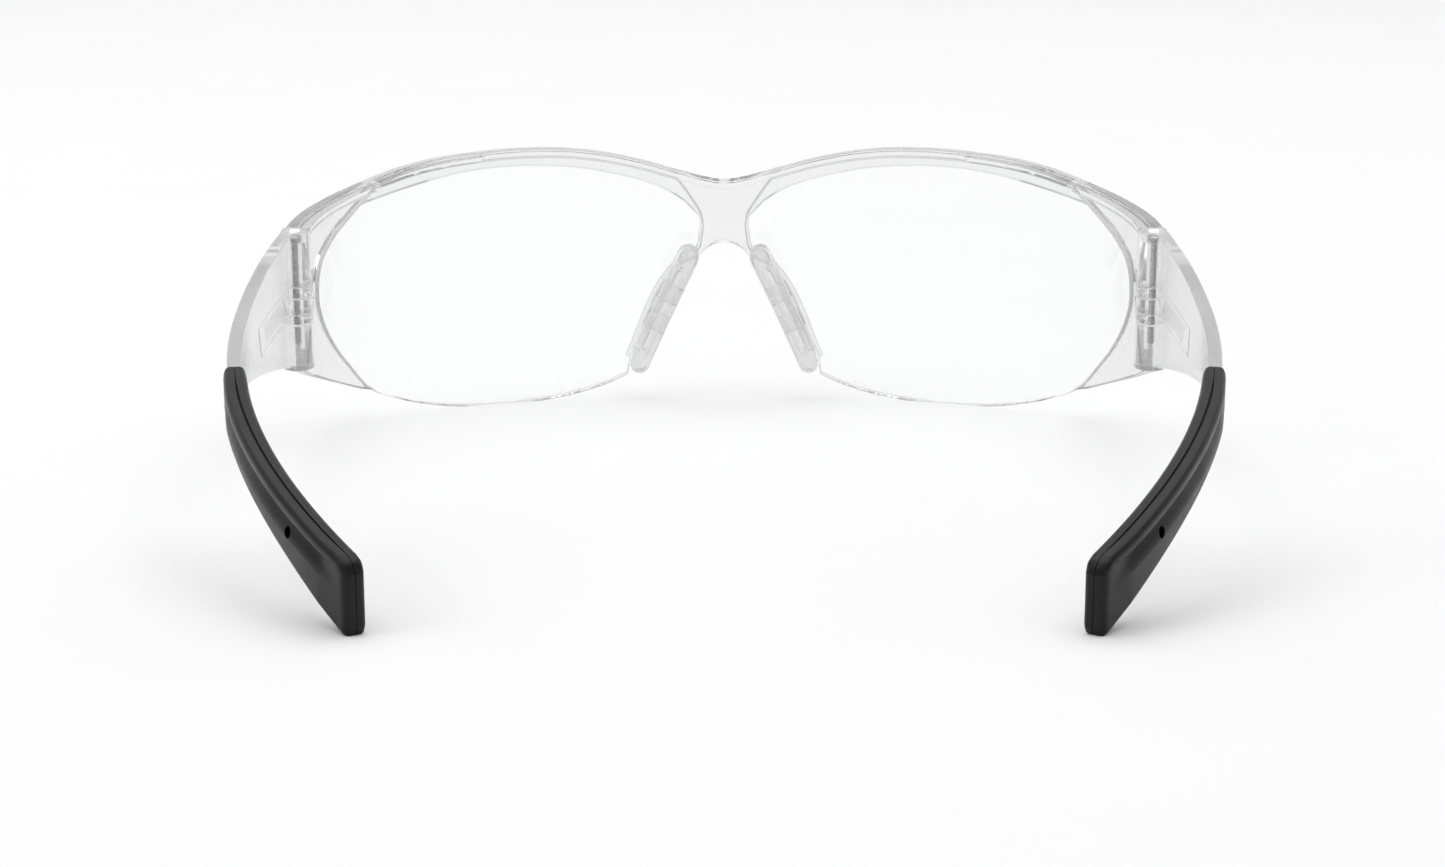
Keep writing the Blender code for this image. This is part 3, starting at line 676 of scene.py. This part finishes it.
def temple():
    made = plate("temple_right_shape", [temple_outline(0, TANG_START_Y, 0)], 0,
                 TEMPLE_THICKNESS, EDGE_ROUND)
    middle = TEMPLE_THICKNESS / 2
    tang = plate("tang", [temple_outline(TANG_START_Y - TANG_OVERLAP, TANG_END_Y, TANG_MARGIN)],
                 middle - TANG_THICKNESS / 2, middle + TANG_THICKNESS / 2)
    combine(made, [tang], "UNION")
    clear = KNUCKLE_RADIUS + GAP
    notches = [block("notch", (-PAST, low - GAP / 2 - KNUCKLE_TOP, -PAST),
                     (clear, high + GAP / 2 - KNUCKLE_TOP, TEMPLE_THICKNESS + PAST))
               for low, high in FRONT_KNUCKLES]
    combine(made, panel_cutters() + notches, "DIFFERENCE")
    bend_temple(made)
    ends = [KNUCKLE_BOTTOM]
    for low, high in sorted(FRONT_KNUCKLES):
        ends += [low - GAP / 2, high + GAP / 2]
    ends.append(KNUCKLE_TOP)
    barrels = [barrel(low + FLUSH_UNDER, high - FLUSH_UNDER)
               for low, high in zip(ends[::2], ends[1::2])]
    combine(made, barrels, "UNION")
    bore = cylinder("bore", (HINGE_X, 0), SCREW_RADIUS + RUNNING_FIT, BORE_END, BORE_TOP)
    seat = KNUCKLE_TOP - SCREW_RECESS - SCREW_HEAD_HEIGHT - GAP
    mouth = cylinder("head", (HINGE_X, 0), SCREW_HEAD_RADIUS + RUNNING_FIT, seat,
                     BORE_TOP + PAST)
    return combine(made, [bore, mouth], "DIFFERENCE")


def arch(y):
    """y with the rounding of the sleeve's mouth drawn out along the temple."""
    start, end = SLEEVE_START_Y, SLEEVE_START_Y + 2 * ARCH_LENGTH
    if y > end:
        return y
    return float(np.interp(y, (start, start + SLEEVE_ROUND, end),
                           (start, start + ARCH_LENGTH, end)))


def flute(y, z, d):
    """A straight sleeve's point, with the hollow under the top rim pressed into the outer face."""
    y = arch(y)
    if d > TEMPLE_THICKNESS / 2:
        return place_temple(y, z, d)
    width = FLUTE_ABOVE_WIDTH if z > -FLUTE_BELOW else FLUTE_BELOW_WIDTH
    across = min(1.0, abs(z + FLUTE_BELOW) / width)
    ease_in = min(1.0, max(0.0, (y - FLUTE_START_Y) / FLUTE_EASE_IN))
    ease_out = min(1.0, max(0.0, (FLUTE_END_Y - y) / FLUTE_EASE_OUT))
    hollow = (1 + math.cos(math.pi * across)) / 2
    depth = (FLUTE_DEPTH + FLUTE_SWELL) * hollow - FLUTE_SWELL
    return place_temple(y, z, d + depth * ease_in * ease_out)


def tip_sleeve():
    outline = temple_outline(SLEEVE_START_Y, TEMPLE_LENGTH, -SLEEVE_EDGE, SLEEVE_CORNER)
    made = plate("tip_sleeve_right_shape", [outline], -SLEEVE_WALL,
                 TEMPLE_THICKNESS + SLEEVE_WALL, SLEEVE_ROUND)
    middle = TEMPLE_THICKNESS / 2
    wide = temple_outline(SLEEVE_START_Y - 5 * PAST, TEMPLE_LENGTH + 5 * PAST, -5 * PAST)
    seam = temple_outline(SLEEVE_START_Y - 3 * PAST, TEMPLE_LENGTH - SEAM_DEPTH,
                          SEAM_DEPTH - SLEEVE_EDGE, SLEEVE_CORNER)
    cuts = [plate("seam", [wide, seam], middle - SEAM_WIDTH / 2, middle + SEAM_WIDTH / 2)]
    mouth = temple_outline(SLEEVE_START_Y - PAST, TANG_START_Y + GAP, -SLEEVE_FIT)
    cuts.append(plate("mouth", [mouth], -SLEEVE_FIT, TEMPLE_THICKNESS + SLEEVE_FIT))
    half = TANG_THICKNESS / 2 + GAP
    pocket = temple_outline(TANG_START_Y - PAST, TANG_END_Y + GAP, TANG_MARGIN - GAP)
    cuts.append(plate("pocket", [pocket], middle - half, middle + half))
    centre = (SLEEVE_HOLE_Y, -temple_height(SLEEVE_HOLE_Y) / 2)
    cuts.append(cylinder("hole", centre, SLEEVE_HOLE_RADIUS, -2 * PAST, middle))
    combine(made, cuts, "DIFFERENCE")
    slices = [(0, y) for y in steps(SLEEVE_START_Y, TEMPLE_LENGTH, SLEEVE_STEP)]
    slices += [(1, z) for z in steps(-FLUTE_BELOW - FLUTE_BELOW_WIDTH,
                                     -FLUTE_BELOW + FLUTE_ABOVE_WIDTH, FLUTE_STEP)]
    reshape(made, slices, flute)
    return combine(made, [ground()], "DIFFERENCE")


def hinge_screw():
    """A threaded shank and a slotted head, as one stack of rings."""
    head_top = KNUCKLE_TOP - SCREW_RECESS
    head_bottom = head_top - SCREW_HEAD_HEIGHT
    rows = round((head_bottom - SCREW_END) / THREAD_PITCH) * THREAD_STEPS
    bm = bmesh.new()

    def ring(z, radius_at):
        radii = [(i, radius_at(i / SCREW_STEPS)) for i in range(SCREW_STEPS)]
        angle = 2 * math.pi / SCREW_STEPS
        return [bm.verts.new((HINGE_X + r * math.cos(i * angle), r * math.sin(i * angle), z))
                for i, r in radii]

    rings = []
    for j in range(rows + 1):
        z = SCREW_END + (head_bottom - SCREW_END) * j / rows
        rings.append(ring(z, lambda turn: SCREW_RADIUS
                          - THREAD_DEPTH * abs(2 * ((z / THREAD_PITCH - turn) % 1) - 1)))
    for z, radius in ((head_bottom, SCREW_HEAD_RADIUS - SCREW_CHAMFER / 2),
                      (head_bottom + SCREW_CHAMFER / 2, SCREW_HEAD_RADIUS),
                      (head_top - SCREW_CHAMFER, SCREW_HEAD_RADIUS),
                      (head_top, SCREW_HEAD_RADIUS - SCREW_CHAMFER)):
        rings.append(ring(z, lambda turn: radius))
    for lower, upper in zip(rings, rings[1:]):
        for i in range(SCREW_STEPS):
            k = (i + 1) % SCREW_STEPS
            bm.faces.new((lower[i], lower[k], upper[k], upper[i]))
    bm.faces.new(rings[0])
    bm.faces.new(rings[-1])
    made = add_object("hinge_screw_right_shape", mesh_from(bm, "hinge_screw_right_shape"))
    slot = block("slot", (HINGE_X - 2 * PAST, -SCREW_SLOT_HALF_WIDTH, head_top - SCREW_SLOT_DEPTH),
                 (HINGE_X + 2 * PAST, SCREW_SLOT_HALF_WIDTH, head_top + PAST))
    return combine(made, [slot], "DIFFERENCE")


# ---------------------------------------------------------------- materials


def new_material(name):
    made = bpy.data.materials.new(name)
    made.use_nodes = True
    return made, made.node_tree, made.node_tree.nodes["Principled BSDF"]


def node(tree, kind, settings=(), **inputs):
    """A node with its settings, and each named input given a value or a socket to read."""
    made = tree.nodes.new(kind)
    for key, value in dict(settings).items():
        setattr(made, key, value)
    for key, value in inputs.items():
        target = made.inputs[key.replace("_", " ")]
        if isinstance(value, bpy.types.NodeSocket):
            tree.links.new(value, target)
        else:
            target.default_value = value
    return made


def millimetres(tree, stretch=(1, 1, 1)):
    """The place on the piece in millimetres, stretched along its axes."""
    spot = node(tree, "ShaderNodeTexCoord").outputs["Object"]
    scale = tuple(1000 / s for s in stretch)
    return node(tree, "ShaderNodeMapping", Vector=spot, Scale=scale).outputs["Vector"]


def noise(tree, spot, scale, detail=4.0):
    made = node(tree, "ShaderNodeTexNoise", Vector=spot, Scale=scale, Detail=detail)
    return made.outputs["Fac"]


def ramp(tree, value, low, high, start=0.3, end=0.7):
    """value mapped from start..end to low..high. Noise mostly spans 0.3..0.7."""
    inputs = {"Value": value, "From Min": start, "From Max": end, "To Min": low, "To Max": high}
    made = tree.nodes.new("ShaderNodeMapRange")
    for key, entry in inputs.items():
        if isinstance(entry, bpy.types.NodeSocket):
            tree.links.new(entry, made.inputs[key])
        else:
            made.inputs[key].default_value = entry
    return made.outputs["Result"]


def grey(value):
    return value, value, value, 1


def blend_colours(tree, share, first, second):
    made = node(tree, "ShaderNodeMix", {"data_type": "RGBA"})
    for socket, value in ((made.inputs[0], share), (made.inputs[6], first),
                          (made.inputs[7], second)):
        if isinstance(value, bpy.types.NodeSocket):
            tree.links.new(value, socket)
        else:
            socket.default_value = value
    return made.outputs[2]


def let_lamps_through(tree, shader, tint):
    """Rays from lamps pass, so that clear pieces cast only a faint shadow."""
    rays = node(tree, "ShaderNodeLightPath").outputs["Is Shadow Ray"]
    through = node(tree, "ShaderNodeBsdfTransparent", Color=(*tint, 1)).outputs[0]
    mixed = node(tree, "ShaderNodeMixShader")
    tree.links.new(rays, mixed.inputs[0])
    tree.links.new(shader.outputs[0], mixed.inputs[1])
    tree.links.new(through, mixed.inputs[2])
    tree.links.new(mixed.outputs[0], tree.nodes["Material Output"].inputs["Surface"])


def clear_plastic(name, face, rim, rough, waviness):
    """Polished polycarbonate with smudges and hairlines, whose colour turns to the rim grey where
    it is seen edge on: painted shade where that grey is darker, painted light where it is lighter.
    """
    made, tree, shader = new_material(name)
    spot = millimetres(tree)
    # Painted shade along edges seen edge on; on the temples the rim grey is lighter, a painted
    # light.
    painted_edge_share = node(tree, "ShaderNodeLayerWeight", Blend=0.35).outputs["Facing"]
    colour = blend_colours(tree, painted_edge_share, (*face, 1), (*rim, 1))
    tree.links.new(colour, shader.inputs["Base Color"])
    smudges = noise(tree, spot, 0.25, 6.0)
    tree.links.new(ramp(tree, smudges, rough, rough + 0.05), shader.inputs["Roughness"])
    hairlines = noise(tree, millimetres(tree, (12, 1, 12)), 3.0, 2.0)
    swell = noise(tree, spot, 0.12, 1.0)
    height = node(tree, "ShaderNodeMath", {"operation": "MULTIPLY_ADD"})
    tree.links.new(swell, height.inputs[0])
    height.inputs[1].default_value = waviness
    tree.links.new(hairlines, height.inputs[2])
    bump = node(tree, "ShaderNodeBump", Strength=0.03, Distance=0.02 * MM,
                Height=height.outputs[0])
    tree.links.new(bump.outputs[0], shader.inputs["Normal"])
    shader.inputs["Transmission Weight"].default_value = 1.0
    shader.inputs["IOR"].default_value = PLASTIC_IOR
    let_lamps_through(tree, shader, face)
    return made


def lens_rim(name):
    """The lenses' rims, which fit the front so closely that they show as faint grey lines."""
    made, tree, shader = new_material(name)
    mottle = noise(tree, millimetres(tree), 0.5, 3.0)
    colour = blend_colours(tree, mottle, grey(0.6), grey(0.74))
    tree.links.new(colour, shader.inputs["Base Color"])
    shader.inputs["Roughness"].default_value = 0.0
    shader.inputs["Transmission Weight"].default_value = 1.0
    shader.inputs["IOR"].default_value = 1.0
    let_lamps_through(tree, shader, (0.9, 0.9, 0.9))
    return made


def painted_shade_edge(name, dark, light):
    """A rough, partly clear edge, mottled between two greys that paint shade on it."""
    made, tree, shader = new_material(name)
    edge_mottle = noise(tree, millimetres(tree), 5.0, 3.0)
    # Painted shade: the edge's grey stands in for the shade seen on it.
    colour = blend_colours(tree, edge_mottle, grey(dark), grey(light))
    tree.links.new(colour, shader.inputs["Base Color"])
    tree.links.new(ramp(tree, edge_mottle, 0.4, 0.6), shader.inputs["Roughness"])
    shader.inputs["Transmission Weight"].default_value = 0.4
    shader.inputs["IOR"].default_value = PLASTIC_IOR
    let_lamps_through(tree, shader, (0.9, 0.9, 0.9))
    return made


def soft_clear(name):
    """Slightly cloudy elastomer with a fine satin grain."""
    made, tree, shader = new_material(name)
    spot = millimetres(tree)
    cloud = noise(tree, spot, 0.5, 3.0)
    colour = blend_colours(tree, cloud, grey(0.97), grey(0.91))
    tree.links.new(colour, shader.inputs["Base Color"])
    grain = noise(tree, spot, 6.0, 2.0)
    tree.links.new(ramp(tree, grain, 0.12, 0.28), shader.inputs["Roughness"])
    bump = node(tree, "ShaderNodeBump", Strength=0.1, Distance=0.05 * MM, Height=grain)
    tree.links.new(bump.outputs[0], shader.inputs["Normal"])
    shader.inputs["Transmission Weight"].default_value = 0.8
    shader.inputs["IOR"].default_value = 1.45
    let_lamps_through(tree, shader, (0.85, 0.85, 0.85))
    return made


def black_rubber(name):
    """Moulded rubber with a fine grain and a roughness that varies at random; its reflection is
    dimmed in its hollows as painted shade.
    """
    made, tree, shader = new_material(name)
    spot = millimetres(tree)
    grain = noise(tree, spot, 4.0, 4.0)
    wear = noise(tree, spot, 0.18, 4.0)
    colour = blend_colours(tree, ramp(tree, grain, 0.0, 1.0), grey(0.0),
                           grey(0.008))
    tree.links.new(colour, shader.inputs["Base Color"])
    tree.links.new(ramp(tree, wear, 0.3, 0.4), shader.inputs["Roughness"])
    bump = node(tree, "ShaderNodeBump", Strength=0.5, Distance=0.08 * MM, Height=grain)
    tree.links.new(bump.outputs[0], shader.inputs["Normal"])
    # Painted shade: an ambient occlusion node lowers the rubber's reflection in its hollows and
    # along its seam, so the flute and seam read dark.
    hollow_occlusion = node(tree, "ShaderNodeAmbientOcclusion", {"samples": 8, "only_local": True},
                    Distance=HOLLOW_REACH)
    painted_hollow_shade = ramp(tree, hollow_occlusion.outputs["AO"], 0.0, 0.26, 0.8, 0.99)
    tree.links.new(painted_hollow_shade, shader.inputs["Specular IOR Level"])
    return made


def screw_steel(name):
    """Turned steel, with fine rings from the lathe."""
    made, tree, shader = new_material(name)
    rings = noise(tree, millimetres(tree, (4, 4, 0.25)), 2.0, 3.0)
    colour = blend_colours(tree, rings, (0.42, 0.42, 0.43, 1), (0.66, 0.66, 0.65, 1))
    tree.links.new(colour, shader.inputs["Base Color"])
    tree.links.new(ramp(tree, rings, 0.22, 0.42), shader.inputs["Roughness"])
    shader.inputs["Metallic"].default_value = 1.0
    bump = node(tree, "ShaderNodeBump", Strength=0.15, Distance=0.03 * MM, Height=rings)
    tree.links.new(bump.outputs[0], shader.inputs["Normal"])
    return made


# ---------------------------------------------------------------- putting it together


def settle(obj, cad_node, body, look):
    """Puts a finished piece on its body, in place of the CAD node, with its material."""
    obj.data.transform(REST)
    # Cutting leaves empty slots on a piece that has no looks of its own.
    if not any(obj.data.materials):
        obj.data.materials.clear()
        obj.data.materials.append(look)
    obj.data.shade_smooth()
    obj.data.set_sharp_from_angle(angle=math.radians(SHARP_ANGLE))
    weighting = obj.modifiers.new("weighting", "WEIGHTED_NORMAL")
    weighting.keep_sharp = True
    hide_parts(cad_node)
    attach(obj, body)
    return obj


def left_image(obj):
    mesh = obj.data.copy()
    mesh.transform(Matrix.Scale(-1, 4, (1, 0, 0)))
    mesh.flip_normals()
    return add_object(obj.name.replace("right", "left"), mesh)


def glasses():
    # The second grey of each clear look is painted at its edges: darker, a painted shade, on the
    # front and lenses; lighter, a painted light, on the temples.
    frame_look = clear_plastic("clear_frame", (0.885, 0.885, 0.888), (0.72, 0.72, 0.72), 0.02, 3.0)
    temple_look = clear_plastic("hazy_frame", (0.86, 0.86, 0.862), (0.93, 0.93, 0.93), 0.14, 3.0)
    lens_look = clear_plastic("clear_lens", (0.99, 0.992, 0.994), (0.9, 0.9, 0.9), 0.0, 1.0)
    pad_look = soft_clear("soft_clear")
    rubber = black_rubber("black_rubber")
    steel = screw_steel("screw_steel")
    rim_look = lens_rim("lens_rim")
    # The wings' lower edges get a dark grey of painted shade.
    looks = (frame_look, rim_look, frame_look, painted_shade_edge("foot_painted_shade", 0.4, 0.55))
    settle(front_frame(looks), "front_frame", "front", frame_look)
    # The lenses' sides past the rims get a lighter grey of painted shade.
    looks = (lens_look, rim_look, painted_shade_edge("lens_side_painted_shade", 0.72, 0.88))
    pairs = ((lens(looks), "lens", "front", lens_look, "clear_lens"),
             (nose_pad(), "nose_pad", "front", pad_look, "soft_clear"),
             (temple(), "temple", "temple", temple_look, "clear_frame"),
             (tip_sleeve(), "tip_sleeve", "temple", rubber, "black_rubber"),
             (hinge_screw(), "hinge_screw", "temple", steel, "screw_steel"))
    for right, cad_node, body, look, slot in pairs:
        left = left_image(right)
        for side, obj in (("left", left), ("right", right)):
            own = "front" if body == "front" else f"{side}_temple"
            settle(obj, f"{cad_node}_{side}", own, look)


def floor():
    bm = bmesh.new()
    bmesh.ops.create_grid(bm, x_segments=1, y_segments=1, size=4.0)
    obj = add_object("floor", mesh_from(bm, "floor"))
    obj.location = (0, 2.0, -0.02 * MM)
    made, tree, shader = new_material("pale_floor")
    mottle = noise(tree, millimetres(tree), 0.02, 3.0)
    colour = blend_colours(tree, mottle, grey(0.88), grey(0.9))
    tree.links.new(colour, shader.inputs["Base Color"])
    shader.inputs["Roughness"].default_value = 0.9
    shader.inputs["Specular IOR Level"].default_value = 0.1
    obj.data.materials.append(made)


def lamp(name, place, target, size, power):
    data = bpy.data.lights.new(name, "AREA")
    data.size = size
    data.energy = power
    obj = bpy.data.objects.new(name, data)
    bpy.context.scene.collection.objects.link(obj)
    obj.location = place
    obj.rotation_euler = (Vector(target) - Vector(place)).to_track_quat("-Z", "Y").to_euler()


def studio():
    """A bright sweep behind the glasses and dimmer walls elsewhere, which draw the clear edges."""
    world = bpy.data.worlds.new("studio")
    bpy.context.scene.world = world
    world.use_nodes = True
    tree = world.node_tree
    spot = node(tree, "ShaderNodeTexCoord").outputs["Generated"]
    parts = node(tree, "ShaderNodeSeparateXYZ", Vector=spot)
    height = ramp(tree, parts.outputs["Z"], 0.0, 1.0, 0.05, 0.6)
    ahead = ramp(tree, parts.outputs["Y"], 0.0, 1.0, -0.2, 0.7)
    low = blend_colours(tree, ahead, grey(0.35), grey(1.0))
    colour = blend_colours(tree, height, low, grey(0.55))
    tree.links.new(colour, tree.nodes["Background"].inputs["Color"])
    tree.nodes["Background"].inputs["Strength"].default_value = 1.0
    lamp("top", (0.0, 0.3, 1.6), (0, 0.2, 0), 2.2, 21)
    lamp("left", (-1.2, -0.5, 0.9), (0, 0, 0), 0.8, 3)


def camera():
    """Behind the temple tips and above them, looking at the wearer's side of the front."""
    data = bpy.data.cameras.new("camera")
    data.sensor_width = CAMERA_SENSOR
    data.lens = CAMERA_LENS
    data.clip_start = 0.01
    obj = bpy.data.objects.new("camera", data)
    bpy.context.scene.collection.objects.link(obj)
    tilt = Matrix.Rotation(math.radians(90 - CAMERA_TILT), 4, "X")
    obj.matrix_world = REST @ Matrix.Translation(CAMERA_PLACE) @ tilt
    bpy.context.scene.camera = obj


def light_paths():
    """Enough bounces for light that a clear plate guides to its edge, which is dark otherwise."""
    cycles = bpy.context.scene.cycles
    cycles.max_bounces = GUIDED_BOUNCES
    cycles.glossy_bounces = GUIDED_BOUNCES
    cycles.transmission_bounces = GUIDED_BOUNCES


glasses()
floor()
studio()
camera()
light_paths()
bpy.context.scene.view_settings.view_transform = "Standard"
